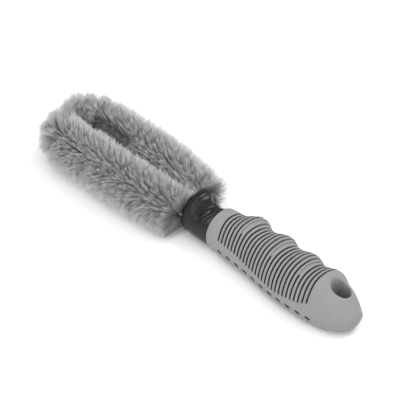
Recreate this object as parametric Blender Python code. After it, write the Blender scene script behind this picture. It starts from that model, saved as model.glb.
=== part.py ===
"""Wheel brush: a twisted-wire loop of soft bristles in a black core with a grey rubber grip.

The brush lies on the floor, z = 0, with the bristle loop towards -X, the butt towards +X and the
finger bumps on the +Y side. Driving dimensions are in millimetres and are scaled once, by MM.
"""

import math

import bmesh
import bpy
from mathutils import Vector

MM = 0.001
GAP = 0.3  # clearance between neighbouring solids

# Overall length, split equally about x = 0.
HALF_LENGTH = 143.0

# Bristle loop: the wire follows two legs and a half-circle at the tip.
LOOP_CENTRE_X = -109.0
LOOP_RADIUS = 16.5
STEM_END_X = 49.7
LEG_Y = [(LOOP_CENTRE_X, 16.5), (-75.0, 16.5), (-50.0, 16.0), (-25.0, 13.9), (0.0, 10.0), (15.0, 7.4),
         (26.0, 6.2), (STEM_END_X, 6.2)]
LEG_Z = [(LOOP_CENTRE_X, 19.0), (-75.0, 19.0), (-50.0, 18.6), (-25.0, 17.0), (0.0, 14.9), (15.0, 13.8),
         (26.0, 13.4), (STEM_END_X, 13.4)]
BRISTLE_LENGTH = 20.9
TIP_BRISTLE_LENGTH = HALF_LENGTH + LOOP_CENTRE_X - LOOP_RADIUS
WIRE_CHANNEL_R = 2.6
LEG_BRISTLE_X = (-0.8, -106.0)
BRISTLE_SIDES = 20

# Twisted wire: two strands wound round each other.
STRAND_R = 0.9
TWIST_R = 1.2
TWIST_PITCH = 14.0
TWIST_STEPS = 6
STRAND_SIDES = 6

# Anchor inside the core: a plate on both stems with a crimped ferrule behind it on each.
STEM_Y = 6.2
STEM_Z = 13.4
PLATE_X = (37.5, 39.0)
PLATE_HALF_Y = 10.5
PLATE_HALF_Z = 4.0
PLATE_HOLE_R = 2.4
FERRULE_X = (39.3, 50.0)
FERRULE_R = 3.0
FERRULE_BORE_R = 2.4
STEM_BORE_R = 2.7

# Core neck, in front of the grip: radii about its own centre line, and the dish of the thumb rest,
# with the angle of its near edge at each x.
NECK_CENTRE_Z = [(0.0, 15.4), (10.0, 15.0), (22.6, 14.0)]
NECK_R = [(0.0, 14.3), (0.8, 15.2), (6.0, 15.25), (10.0, 14.9), (16.0, 14.3), (22.6, 13.7)]
DISH_FRONT_X = 5.0
DISH_EDGE = [(4.9, 100.0), (6.0, 139.0), (9.0, 156.0), (12.5, 164.0), (14.6, 163.0), (15.8, 150.0),
             (17.2, 134.0), (19.5, 116.0), (22.6, 97.0)]
DISH_FAR_DEG = -18.0
DISH_DEPTH = 3.8
DISH_WIDTH = [(20.0, 9.0), (60.0, 7.0), (95.0, 4.8), (130.0, 4.2)]  # angle, length of its slope
CORE_NECK_X = (0.0, 0.8, 2.6, 4.0, 5.4, 6.5, 7.6, 9.2, 11.0, 12.5, 14.0, 15.8, 17.5, 18.8, 20.0, 21.3, 22.6)
CORE_GRIP_X = (22.65, 27.0, 32.0, 40.0, 48.0, 56.0, 64.0, 72.0, 80.0, 88.0, 96.0, 104.0, 110.0, 113.8)

# Grip outline: near (-Y) and far (+Y) half-widths, and heights above and below the centre line.
GRIP_FRONT_X = 23.0
GRIP_CENTRE_Z = [(23.0, 14.2), (36.0, 13.6), (60.0, 13.0), (120.0, 12.8), (128.0, 12.6), (134.0, 11.6),
                 (139.0, 10.4), (143.0, 9.2)]
GRIP_NEAR = [(23.0, 14.2), (36.0, 15.6), (52.0, 16.4), (68.0, 18.0), (85.0, 20.0), (101.0, 20.6),
             (118.0, 19.6), (126.0, 18.3), (133.0, 16.0), (139.0, 12.2), (142.3, 7.4), (143.0, 4.4)]
SQUARENESS = [(5.0, 2.0), (23.0, 2.5), (60.0, 2.6), (86.0, 3.0), (122.0, 3.0), (141.0, 2.2)]  # lower near quarter
GRIP_FAR = [(23.0, 14.2), (34.0, 16.0), (45.0, 18.6), (57.0, 18.6), (81.0, 18.4), (104.0, 17.4),
            (114.0, 17.6), (124.5, 15.7), (133.0, 12.2), (138.6, 8.6), (142.3, 5.4), (143.0, 3.0)]
GRIP_TOP = [(23.0, 14.1), (36.0, 14.9), (60.0, 15.5), (104.0, 15.9), (115.0, 16.3), (120.0, 15.7),
            (124.0, 14.6), (128.0, 13.0), (134.0, 9.6), (139.0, 6.3), (142.3, 3.2), (143.0, 1.6)]
GRIP_UNDER = [(23.0, 14.1), (36.0, 13.7), (60.0, 13.4), (120.0, 13.2), (128.0, 12.6), (134.0, 10.8),
              (139.0, 8.2), (142.3, 5.0), (143.0, 3.0)]
FINGER_BUMPS = [(44.6, 3.6), (68.9, 2.9), (92.6, 2.5), (114.4, 2.1)]  # x, height
BUMP_REACH = 11.0
BUMP_ROUND = [(-90.0, 0.0), (-45.0, 0.9), (0.0, 1.25), (40.0, 1.0), (90.0, 0.42), (130.0, 0.0)]
GRIP_WALL = 1.0
CORE_INSET = 1.9
GRIP_CAVITY_END_X = 114.2

# Slots over the top and underside of the grip, and a row of short ones along each side.
SLOT_COUNT = 27
SLOT_FIRST_X = 32.0
SLOT_PITCH = 3.11
SLOT_WIDTH = 1.44
SLOT_END_DEG = 25.0
SLOT_NEAR_END = [(32.0, 162.0), (51.0, 166.0), (69.0, 174.0), (88.0, 178.0), (97.0, 172.0), (107.0, 166.0),
                 (113.0, 157.0), (125.0, 155.0)]
SLOT_SIDE_DEG = 182.0
SLOT_LEAN = [(23.0, 0.0), (31.0, 2.9), (60.0, 2.4), (88.0, 3.4), (107.0, 3.6), (113.5, 3.3), (128.0, 0.0)]
SLOT_LEAN_DEG = (20.0, 86.0)
TOP_CELLS = 12
UNDER_CELLS = 9
DASH_COUNT = 11
DASH_FIRST_X = 36.9
DASH_PITCH = 8.2
DASH_LOW_DEG = -14.5
DASH_HIGH_DEG = -5.5
BUTT_X = (114.2, 117.0, 121.0, 125.0, 128.0, 131.0, 134.0, 136.5, 139.0, 141.0, 142.3, 143.0)

# Hanging hole through the butt.
HOLE_X = 125.8
HOLE_Y = 3.7
HOLE_R = 6.6
HOLE_SIDES = 32


def clear_scene():
    for existing in list(bpy.data.objects):
        bpy.data.objects.remove(existing, do_unlink=True)


def make_material(name, color, roughness, metallic=0.0):
    material = bpy.data.materials.new(name)
    material.use_nodes = True
    shader = material.node_tree.nodes["Principled BSDF"]
    shader.inputs["Base Color"].default_value = (*color, 1.0)
    shader.inputs["Roughness"].default_value = roughness
    shader.inputs["Metallic"].default_value = metallic
    return material


def make_object(name, points_mm, faces, material):
    """One closed mesh from points in millimetres, with its origin at its own centre."""
    points = [Vector(p) * MM for p in points_mm]
    centre = sum(points, Vector()) / len(points)
    mesh = bpy.data.meshes.new(name)
    mesh.from_pydata([p - centre for p in points], [], faces)
    bm = bmesh.new()
    bm.from_mesh(mesh)
    bmesh.ops.recalc_face_normals(bm, faces=bm.faces)
    bm.to_mesh(mesh)
    bm.free()
    mesh.shade_smooth()
    mesh.set_sharp_from_angle(angle=math.radians(40.0))
    if material:
        mesh.materials.append(material)
    made = bpy.data.objects.new(name, mesh)
    made.location = centre
    bpy.context.collection.objects.link(made)
    return made


def smooth_curve(stations, x):
    """Value at x of a monotone cubic curve through (x, value) stations."""
    xs = [s[0] for s in stations]
    ys = [s[1] for s in stations]
    if x <= xs[0]:
        return ys[0]
    if x >= xs[-1]:
        return ys[-1]
    slopes = [(ys[i + 1] - ys[i]) / (xs[i + 1] - xs[i]) for i in range(len(xs) - 1)]
    i = max(k for k in range(len(xs) - 1) if xs[k] <= x)
    start = harmonic_slope(slopes, i)
    end = harmonic_slope(slopes, i + 1)
    span = xs[i + 1] - xs[i]
    t = (x - xs[i]) / span
    return (ys[i] * (1 + 2 * t) * (1 - t) ** 2 + ys[i + 1] * t * t * (3 - 2 * t)
            + span * (start * t * (1 - t) ** 2 - end * t * t * (1 - t)))


def harmonic_slope(slopes, i):
    """Slope at station i: the harmonic mean of its two chords, or zero at a turning point."""
    before = slopes[max(i - 1, 0)]
    after = slopes[min(i, len(slopes) - 1)]
    if before * after <= 0.0:
        return 0.0
    return 2.0 * before * after / (before + after)


def quad_strip(lower, upper, count):
    """Quads between two closed rings of point indices that start at lower and upper."""
    return [(lower + k, lower + (k + 1) % count, upper + (k + 1) % count, upper + k) for k in range(count)]


def loft(name, rings, material):
    """A solid through a list of equal closed rings, with flat ends."""
    count = len(rings[0])
    points = [p for ring in rings for p in ring]
    faces = [quad for i in range(len(rings) - 1) for quad in quad_strip(i * count, (i + 1) * count, count)]
    faces.append(tuple(range(count)))
    faces.append(tuple(range(len(points) - count, len(points))))
    return make_object(name, points, faces, material)


def hollow_loft(name, outer, inner, material):
    """A tube through equal closed outer and inner rings, with annular ends."""
    count = len(outer[0])
    last = len(outer) - 1
    points = [p for ring in outer + inner for p in ring]
    inside = len(outer) * count
    faces = []
    for i in range(last):
        faces += quad_strip(i * count, (i + 1) * count, count)
        faces += quad_strip(inside + i * count, inside + (i + 1) * count, count)
    faces += quad_strip(0, inside, count)
    faces += quad_strip(last * count, inside + last * count, count)
    return make_object(name, points, faces, material)


def ring_around(centre, side, up, radius, sides):
    """A circle of points about centre, in the plane of the unit vectors side and up."""
    turn = 2.0 * math.pi / sides
    return [centre + side * (radius * math.cos(k * turn)) + up * (radius * math.sin(k * turn))
            for k in range(sides)]


def cylinder_along_x(name, x_span, y, z, radius, sides, material=None):
    rings = [ring_around(Vector((x, y, z)), Vector((0, 1, 0)), Vector((0, 0, 1)), radius, sides)
             for x in x_span]
    return loft(name, rings, material)


def box(name, low, high, material=None):
    (x0, y0, z0), (x1, y1, z1) = low, high
    rings = [[(x, y0, z0), (x, y1, z0), (x, y1, z1), (x, y0, z1)] for x in (x0, x1)]
    return loft(name, rings, material)


def cut(target, cutter):
    """Subtract a helper solid from the target with an exact Boolean."""
    cutter.hide_render = True
    cutter.display_type = "WIRE"
    modifier = target.modifiers.new("cut_" + cutter.name, "BOOLEAN")
    modifier.operation = "DIFFERENCE"
    modifier.solver = "EXACT"
    modifier.object = cutter


def leg_point(x, side):
    """The wire's centre line on one leg, side -1 towards -Y or +1 towards +Y."""
    return Vector((x, side * smooth_curve(LEG_Y, x), smooth_curve(LEG_Z, x)))


def loop_path(step):
    """The wire's centre line from the -Y stem, round the tip, to the +Y stem."""
    leg_steps = round((STEM_END_X - LOOP_CENTRE_X) / step)
    leg_xs = [STEM_END_X + (LOOP_CENTRE_X - STEM_END_X) * k / leg_steps for k in range(leg_steps + 1)]
    arc_steps = round(math.pi * LOOP_RADIUS / step)
    tip_z = LEG_Z[0][1]
    points = [leg_point(x, -1) for x in leg_xs]
    for k in range(1, arc_steps):
        angle = math.pi * k / arc_steps
        points.append(Vector((LOOP_CENTRE_X - LOOP_RADIUS * math.sin(angle),
                              -LOOP_RADIUS * math.cos(angle), tip_z)))
    return points + [leg_point(x, 1) for x in reversed(leg_xs)]


def wire_strand(name, phase, material):
    """One of the two strands, a helix about the loop's centre line."""
    path = loop_path(TWIST_PITCH / TWIST_STEPS)
    centres = []
    travelled = 0.0
    for i, point in enumerate(path):
        tangent = (path[min(i + 1, len(path) - 1)] - path[max(i - 1, 0)]).normalized()
        outward = tangent.cross(Vector((0, 0, 1))).normalized()
        above = outward.cross(tangent)
        if i:
            travelled += (point - path[i - 1]).length
        angle = 2.0 * math.pi * travelled / TWIST_PITCH + phase
        centres.append(point + (outward * math.cos(angle) + above * math.sin(angle)) * TWIST_R)
    rings = []
    for i, point in enumerate(centres):
        tangent = (centres[min(i + 1, len(centres) - 1)] - centres[max(i - 1, 0)]).normalized()
        side = tangent.cross(Vector((0, 0, 1))).normalized()
        rings.append(ring_around(point, side, side.cross(tangent), STRAND_R, STRAND_SIDES))
    return loft(name, rings, material)


def bristle_rings(centre, outward, reach, side, radius_up):
    """Outer and inner section rings of the bristle pack at one place on the loop.

    The outer ring stops at the middle plane, where the two legs' bristles meet, and at the floor.
    """
    up = Vector((0, 0, 1))
    outer = []
    for k in range(BRISTLE_SIDES):
        angle = 2.0 * math.pi * k / BRISTLE_SIDES
        point = centre + outward * (reach * math.cos(angle)) + up * (radius_up * math.sin(angle))
        point.y = side * max(side * point.y, GAP / 2)
        point.z = max(point.z, 0.0)
        outer.append(point)
    return outer, ring_around(centre, outward, up, WIRE_CHANNEL_R, BRISTLE_SIDES)


def bristle_leg(name, side, material):
    """Bristles of one straight leg of the loop."""
    first, last = LEG_BRISTLE_X
    outer = []
    inner = []
    steps = 7
    for k in range(steps + 1):
        centre = leg_point(first + (last - first) * k / steps, side)
        rings = bristle_rings(centre, Vector((0, side, 0)), BRISTLE_LENGTH, side, BRISTLE_LENGTH)
        outer.append(rings[0])
        inner.append(rings[1])
    return hollow_loft(name, outer, inner, material)


def bristle_corner(name, side, material):
    """Bristles of one half of the loop's tip, from the end of a leg to the middle plane."""
    outer = []
    inner = []
    steps = 7
    tip_z = LEG_Z[0][1]
    start = Vector((LEG_BRISTLE_X[1] - GAP, side * LOOP_RADIUS, tip_z))
    for k in range(-1, steps + 1):
        angle = math.radians(88.8) * max(k, 0) / steps
        outward = Vector((-math.sin(angle), side * math.cos(angle), 0))
        centre = Vector((LOOP_CENTRE_X, 0, tip_z)) + outward * LOOP_RADIUS
        if k < 0:
            centre = start
        blend = math.sin(angle) ** 2
        reach = BRISTLE_LENGTH + (TIP_BRISTLE_LENGTH - BRISTLE_LENGTH) * blend
        rings = bristle_rings(centre, outward, reach, side, BRISTLE_LENGTH - 0.6 * blend)
        outer.append([limit_to_outside(p, side, angle) for p in rings[0]])
        inner.append(rings[1])
    return hollow_loft(name, outer, inner, material)


def limit_to_outside(point, side, angle):
    """Keep a tip section's inner points just clear of the turning axis, fanned by angle."""
    outward = Vector((-math.sin(angle), side * math.cos(angle), 0))
    pivot = Vector((LOOP_CENTRE_X, 0, point.z))
    if (point - pivot).dot(outward) < GAP and point.x <= LOOP_CENTRE_X + GAP:
        return pivot + outward * GAP + Vector((0, side * GAP / 2, 0))
    return point


def squared_direction(x, angle):
    """Cosine and sine of an angle, bulging out to a squarer corner in the lower near quarter."""
    cosine = math.cos(angle)
    sine = math.sin(angle)
    if cosine < 0 and sine < 0:
        power = 2.0 / smooth_curve(SQUARENESS, x)
        return -abs(cosine) ** power, -abs(sine) ** power
    return cosine, sine


def dish_depth(x, angle_deg, radius):
    """How deep the thumb rest's dish is at a point of the neck."""
    signed = (angle_deg + 90.0) % 360.0 - 90.0
    per_degree = math.radians(radius)
    steepness = (smooth_curve(DISH_EDGE, x + 0.2) - smooth_curve(DISH_EDGE, x - 0.2)) / 0.4 * per_degree
    from_side = (smooth_curve(DISH_EDGE, x) - signed) * per_degree / math.hypot(1.0, steepness)
    from_far = (signed - DISH_FAR_DEG) * per_degree
    into = min(from_side, x - DISH_FRONT_X, from_far)
    t = min(max(into / smooth_curve(DISH_WIDTH, signed), 0.0), 1.0)
    return DISH_DEPTH * t * t * (3.0 - 2.0 * t)


def neck_ring(x):
    centre_z = smooth_curve(NECK_CENTRE_Z, x)
    ring = []
    for angle_deg in grip_angles():
        angle = math.radians(angle_deg)
        radius = smooth_curve(NECK_R, x)
        radius -= dish_depth(x, angle_deg, radius)
        cosine, sine = squared_direction(x, angle)
        ring.append((x, radius * cosine, centre_z + radius * sine))
    return ring


def finger_bump(x):
    """Height of the finger bumps at x, where they are centred on the far side."""
    total = 0.0
    for centre, height in FINGER_BUMPS:
        away = min(abs(x - centre) / BUMP_REACH, 1.0)
        total += height * (0.5 + 0.5 * math.cos(math.pi * away))
    return total


def grip_point(x, angle, inset=0.0):
    """A point of the grip's section at x. Inside it, at an inset, the finger bumps are left out."""
    cosine, sine = squared_direction(x, angle)
    swell = -inset
    if not inset:
        signed = (math.degrees(angle) + 180.0) % 360.0 - 180.0
        swell = finger_bump(x) * smooth_curve(BUMP_ROUND, signed)
    across = smooth_curve(GRIP_FAR if cosine > 0 else GRIP_NEAR, x) + swell
    height = smooth_curve(GRIP_TOP if sine > 0 else GRIP_UNDER, x) + swell
    z = smooth_curve(GRIP_CENTRE_Z, x) + height * sine
    return (x, across * cosine, max(z, inset))


def slotted_point(x, angle_deg, inset=0.0):
    """A point of the grip's grid. Slots lean back towards the near side and end at varying angles."""
    start, stop = SLOT_LEAN_DEG
    turned = min(max((stop - abs(angle_deg - 180.0)) / (stop - start), 0.0), 1.0)
    lean = smooth_curve(SLOT_LEAN, x) * turned * turned * (3.0 - 2.0 * turned)
    end = smooth_curve(SLOT_NEAR_END, x)
    nominal_end = 180.0 - SLOT_END_DEG
    if 90.0 < angle_deg <= nominal_end:
        angle_deg = 90.0 + (angle_deg - 90.0) * (end - 90.0) / (nominal_end - 90.0)
    elif nominal_end < angle_deg < SLOT_SIDE_DEG:
        angle_deg = end + (angle_deg - nominal_end) * (SLOT_SIDE_DEG - end) / (SLOT_SIDE_DEG - nominal_end)
    return grip_point(x + lean, math.radians(angle_deg), inset)


def handle_core(material):
    """Black core: collar, neck with a thumb rest, and the body that the grip is moulded on."""
    rings = [neck_ring(x) for x in CORE_NECK_X]
    for x in CORE_GRIP_X:
        rings.append([slotted_point(x, a, CORE_INSET) for a in grip_angles()])
    core = loft("handle_core", rings, material)
    for side, label in ((-1, "left"), (1, "right")):
        bore_xs = [-1.0, 4.0, 9.0, 15.0, 21.0, 27.0, PLATE_X[1]]
        rings = [ring_around(leg_point(x, side), Vector((0, 1, 0)), Vector((0, 0, 1)), STEM_BORE_R, 16)
                 for x in bore_xs]
        cut(core, loft("cutter_stem_bore_" + label, rings, None))
        pocket_x = (PLATE_X[1], FERRULE_X[1] + GAP)
        cut(core, cylinder_along_x("cutter_ferrule_pocket_" + label, pocket_x, side * STEM_Y, STEM_Z,
                                   FERRULE_R + GAP, 20))
    low = (PLATE_X[0] - GAP, -PLATE_HALF_Y - GAP, STEM_Z - PLATE_HALF_Z - GAP)
    high = (PLATE_X[1] + GAP, PLATE_HALF_Y + GAP, STEM_Z + PLATE_HALF_Z + GAP)
    cut(core, box("cutter_plate_pocket", low, high))
    return core


def anchor_plate(material):
    """Steel plate that both stems pass through and that the ferrules bear on."""
    low = (PLATE_X[0], -PLATE_HALF_Y, STEM_Z - PLATE_HALF_Z)
    high = (PLATE_X[1], PLATE_HALF_Y, STEM_Z + PLATE_HALF_Z)
    plate = box("anchor_plate", low, high, material)
    for side, label in ((-1, "left"), (1, "right")):
        hole_x = (PLATE_X[0] - 1.0, PLATE_X[1] + 1.0)
        cut(plate, cylinder_along_x("cutter_plate_hole_" + label, hole_x, side * STEM_Y, STEM_Z,
                                    PLATE_HOLE_R, 20))
    return plate


def stem_ferrule(name, side, material):
    """Steel tube crimped on the end of one stem."""
    rings = {}
    for radius in (FERRULE_R, FERRULE_BORE_R):
        rings[radius] = [ring_around(Vector((x, side * STEM_Y, STEM_Z)), Vector((0, 1, 0)), Vector((0, 0, 1)),
                                     radius, 20) for x in FERRULE_X]
    return hollow_loft(name, rings[FERRULE_R], rings[FERRULE_BORE_R], material)


def slot_edges():
    """The x of both edges of each slot, in order."""
    edges = []
    for k in range(SLOT_COUNT):
        middle = SLOT_FIRST_X + k * SLOT_PITCH
        edges += [middle - SLOT_WIDTH / 2, middle + SLOT_WIDTH / 2]
    return edges


def grip_angles():
    """Angles of the grip's grid: over the top, down the near side, underneath, up the far side."""
    top = [SLOT_END_DEG + (180.0 - 2 * SLOT_END_DEG) * k / TOP_CELLS for k in range(TOP_CELLS + 1)]
    near = [165.0, 177.0, 180.0 - DASH_HIGH_DEG, 180.0 - DASH_LOW_DEG, 199.0]
    under = [205.0 + (180.0 - 2 * SLOT_END_DEG) * k / UNDER_CELLS for k in range(UNDER_CELLS + 1)]
    far = [341.0, 360.0 + DASH_LOW_DEG, 360.0 + DASH_HIGH_DEG, 363.0, 374.0]
    return top + near + under + far


def open_cells(xs, angles):
    """Grid cells (ring, angle) that a slot or a side dash leaves open."""
    near_dash = angles.index(180.0 - DASH_HIGH_DEG)
    far_dash = angles.index(360.0 + DASH_LOW_DEG)
    under_start = angles.index(205.0)
    cells = set()
    edges = slot_edges()
    for left in edges[::2]:
        ring = xs.index(left)
        cells.update((ring, k) for k in range(TOP_CELLS))
        cells.update((ring, under_start + k) for k in range(UNDER_CELLS))
    lands = [xs.index(right) for right in edges[1:-1:2]] + [xs.index(edges[-1])]
    for k in range(DASH_COUNT):
        middle = DASH_FIRST_X + k * DASH_PITCH
        ring = min(lands, key=lambda r: abs((xs[r] + xs[r + 1]) / 2 - middle))
        cells.update(((ring, near_dash), (ring, far_dash)))
    return cells


def grip_sleeve(material):
    """Grey rubber grip: a slotted skin over the core, solid at the butt, with the hanging hole."""
    angles = grip_angles()
    xs = [GRIP_FRONT_X, 25.5, 28.5] + slot_edges() + list(BUTT_X)
    skin_rings = len([x for x in xs if x <= GRIP_CAVITY_END_X])
    count = len(angles)
    points = [slotted_point(x, a) for x in xs for a in angles]
    inside = len(points)
    points += [slotted_point(x, a, GRIP_WALL) for x in xs[:skin_rings] for a in angles]
    is_open = open_cells(xs, angles)
    faces = quad_strip(0, inside, count)
    for ring in range(len(xs) - 1):
        for k in range(count):
            corner = (ring * count + k, ring * count + (k + 1) % count)
            quad = (corner[0], corner[1], corner[1] + count, corner[0] + count)
            if (ring, k) not in is_open:
                faces.append(quad)
                if ring < skin_rings - 1:
                    faces.append(tuple(inside + p for p in quad))
                continue
            sides = (((ring - 1, k), quad[0], quad[1]), ((ring, (k + 1) % count), quad[1], quad[2]),
                     ((ring + 1, k), quad[2], quad[3]), ((ring, (k - 1) % count), quad[3], quad[0]))
            for neighbour, start, end in sides:
                if neighbour not in is_open:
                    faces.append((start, end, inside + end, inside + start))
    faces.append(tuple((len(xs) - 1) * count + k for k in range(count)))
    faces.append(tuple(inside + (skin_rings - 1) * count + k for k in range(count)))
    sleeve = make_object("grip_sleeve", points, faces, material)
    hole_rings = [ring_around(Vector((HOLE_X, HOLE_Y, z)), Vector((1, 0, 0)), Vector((0, 1, 0)), HOLE_R,
                              HOLE_SIDES) for z in (-2.0, 40.0)]
    cut(sleeve, loft("cutter_hanging_hole", hole_rings, None))
    return sleeve


def build():
    clear_scene()
    black = make_material("black_plastic", (0.045, 0.045, 0.048), 0.35)
    grey = make_material("grey_rubber", (0.38, 0.38, 0.38), 0.6)
    steel = make_material("galvanised_steel", (0.62, 0.63, 0.64), 0.35, 1.0)
    filament = make_material("grey_filament", (0.40, 0.39, 0.38), 0.5)
    pieces = [
        handle_core(black),
        grip_sleeve(grey),
        anchor_plate(steel),
        stem_ferrule("stem_ferrule_left", -1, steel),
        stem_ferrule("stem_ferrule_right", 1, steel),
        wire_strand("wire_strand_a", 0.0, steel),
        wire_strand("wire_strand_b", math.pi, steel),
        bristle_leg("bristles_left_leg", -1, filament),
        bristle_leg("bristles_right_leg", 1, filament),
        bristle_corner("bristles_left_tip", -1, filament),
        bristle_corner("bristles_right_tip", 1, filament),
    ]
    brush = bpy.data.objects.new("wheel_brush", None)
    bpy.context.collection.objects.link(brush)
    for piece in pieces:
        piece.parent = brush


build()
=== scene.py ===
"""Looks of the wheel brush: single bristles on the twisted wire, a black core, a ribbed rubber grip.

Shapes are worked out in millimetres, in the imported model's frame, and become metres in make_mesh.
"""

import math

import bpy
import numpy as np
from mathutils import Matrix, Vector


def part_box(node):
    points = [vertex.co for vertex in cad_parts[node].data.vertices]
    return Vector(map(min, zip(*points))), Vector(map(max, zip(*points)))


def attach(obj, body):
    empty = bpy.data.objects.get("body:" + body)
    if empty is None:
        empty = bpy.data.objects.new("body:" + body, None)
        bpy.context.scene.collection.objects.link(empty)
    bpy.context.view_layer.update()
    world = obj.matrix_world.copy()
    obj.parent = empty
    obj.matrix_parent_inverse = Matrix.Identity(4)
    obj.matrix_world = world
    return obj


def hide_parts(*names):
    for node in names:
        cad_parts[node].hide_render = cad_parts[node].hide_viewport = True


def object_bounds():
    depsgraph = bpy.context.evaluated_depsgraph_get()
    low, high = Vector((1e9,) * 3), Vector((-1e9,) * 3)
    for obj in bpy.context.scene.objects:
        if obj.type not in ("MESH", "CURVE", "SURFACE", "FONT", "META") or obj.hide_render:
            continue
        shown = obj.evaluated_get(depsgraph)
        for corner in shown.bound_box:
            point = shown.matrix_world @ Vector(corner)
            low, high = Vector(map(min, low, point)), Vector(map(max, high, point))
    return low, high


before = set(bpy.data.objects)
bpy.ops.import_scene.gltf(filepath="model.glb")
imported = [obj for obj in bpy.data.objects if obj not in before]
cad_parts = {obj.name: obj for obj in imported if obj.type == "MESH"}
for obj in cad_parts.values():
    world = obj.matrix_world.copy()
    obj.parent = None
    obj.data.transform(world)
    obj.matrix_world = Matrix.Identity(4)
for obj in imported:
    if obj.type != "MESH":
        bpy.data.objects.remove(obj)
cad_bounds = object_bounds()

MM = 0.001
SHARP_DEG = 40.0
BODY = "root"


def box_mm(node):
    """Lowest and highest corner of a CAD node, in millimetres."""
    low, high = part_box(node)
    return np.array(low) / MM, np.array(high) / MM


# Ends of the pieces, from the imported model.
CORE_FRONT_X = box_mm("handle_core")[0][0]
CORE_END_X = box_mm("handle_core")[1][0]
SLEEVE_FRONT_X = box_mm("grip_sleeve")[0][0]
SLEEVE_END_X = box_mm("grip_sleeve")[1][0]
TIP_X = box_mm("bristles_left_tip")[0][0]
LEG_LOW, LEG_HIGH = box_mm("bristles_left_leg")
STEM_END_X = box_mm("stem_ferrule_left")[1][0] - 0.3
STEM_Y = (box_mm("stem_ferrule_right")[0][1] + box_mm("stem_ferrule_right")[1][1]) / 2
STEM_Z = (box_mm("stem_ferrule_right")[0][2] + box_mm("stem_ferrule_right")[1][2]) / 2

# Wire loop: two legs and a half-circle.
LOOP_CENTRE_X = -109.0
LOOP_RADIUS = 16.5
LEG_Y = [(LOOP_CENTRE_X, 16.5), (-75.0, 16.5), (-50.0, 16.0), (-25.0, 13.9), (0.0, 10.0), (15.0, 7.4),
         (26.0, STEM_Y), (STEM_END_X, STEM_Y)]
LEG_Z = [(LOOP_CENTRE_X, 19.0), (-75.0, 19.0), (-50.0, 18.6), (-25.0, 17.0), (0.0, 14.9), (15.0, 13.8),
         (26.0, STEM_Z), (STEM_END_X, STEM_Z)]
STRAND_R = 0.9
TWIST_R = 1.2
TWIST_PITCH = 14.0
WIRE_STEP = 0.9
WIRE_SIDES = 12
STEM_BORE_R = 2.7

# Bristles.
SEED = 11
BRISTLE_REACH = 1.04 * (LEG_HIGH[2] - LEG_Z[0][1])
TIP_REACH = 1.03 * (LOOP_CENTRE_X - LOOP_RADIUS - TIP_X)
LEG_PER_MM = 138.0
TIP_PER_MM = 230.0
BRISTLE_R = 0.14
BRISTLE_RINGS = 5
BRISTLE_START = 0.5
BRISTLE_BEND = 1.6
TWIST_SPREAD = 0.75  # how far bristles stray round the wire, and along it, in radians
ALONG_SPREAD = 0.07
TUFT_SPACING = 2.8
TUFT_PULL = 0.28
TUFT_LENGTHS = (0.89, 1.0)
BRISTLE_LENGTHS = (0.95, 1.0)
TUFT_SLOPE = 0.08
COLLAR_CLEARANCE = 0.3
COLLAR_RAGGED = 0.6
COLLAR_FAN = 6.5
COLLAR_FAN_X = 12.0
COLLAR_FAN_R = (14.5, 22.5)
FAR_CORNER_EXTRA = 7.0
PARTING_DEG = 146.0
PARTING_HALF_DEG = 34.0
PARTING_DEPTH = 0.42
INNER_EXTRA = 0.12
PARTING_X = (-80.0, -56.0)
PARTING_FADE_DEG = 20.0

# Grip outline, as half-widths and heights about its centre line.
GRIP_CENTRE_Z = [(23.0, 14.2), (36.0, 13.6), (60.0, 13.0), (120.0, 12.8), (128.0, 12.6), (134.0, 11.6),
                 (139.0, 10.4), (143.0, 9.2)]
GRIP_NEAR = [(23.0, 14.2), (36.0, 15.6), (52.0, 16.4), (68.0, 18.0), (85.0, 20.0), (101.0, 20.6),
             (118.0, 19.6), (126.0, 18.3), (133.0, 16.0), (139.0, 11.4), (141.0, 8.8), (143.0, 7.4)]
# Power of the section's lower near quarter, which is squarer than an ellipse.
SQUARENESS = [(5.0, 2.0), (23.0, 2.5), (60.0, 2.6), (86.0, 3.0), (122.0, 3.0), (141.0, 2.2)]
GRIP_FAR = [(23.0, 14.2), (34.0, 16.0), (45.0, 18.6), (57.0, 18.6), (81.0, 18.4), (104.0, 17.4),
            (114.0, 17.6), (124.5, 15.7), (133.0, 12.7), (138.6, 9.6), (141.0, 8.2), (143.0, 7.6)]
GRIP_TOP = [(23.0, 14.1), (36.0, 14.9), (60.0, 15.5), (104.0, 15.9), (115.0, 16.3), (120.0, 15.7),
            (124.0, 14.6), (128.0, 13.0), (134.0, 9.6), (139.0, 6.3), (141.0, 4.9), (143.0, 4.2)]
GRIP_UNDER = [(23.0, 14.1), (36.0, 13.7), (60.0, 13.4), (120.0, 13.2), (128.0, 12.6), (134.0, 10.8),
              (139.0, 8.2), (141.0, 6.9), (143.0, 6.4)]
END_ROUND = 2.0
FINGER_BUMPS = [(44.6, 3.6), (68.9, 2.9), (92.6, 2.5), (114.4, 2.1)]  # x, height
BUMP_REACH = 11.0
BUMP_ROUND = [(-90.0, 0.0), (-45.0, 0.9), (0.0, 1.25), (40.0, 1.0), (90.0, 0.42), (130.0, 0.0)]
GRIP_WALL = 0.6
CORE_INSET = 0.66
RIM_ROUND = 0.5
FRONT_STEPS = (0.0, 0.15, 0.5, 1.2, 2.5, 4.5, 6.5)
BUTT_STEP = 0.55
BUTT_END_RINGS = 12

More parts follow.
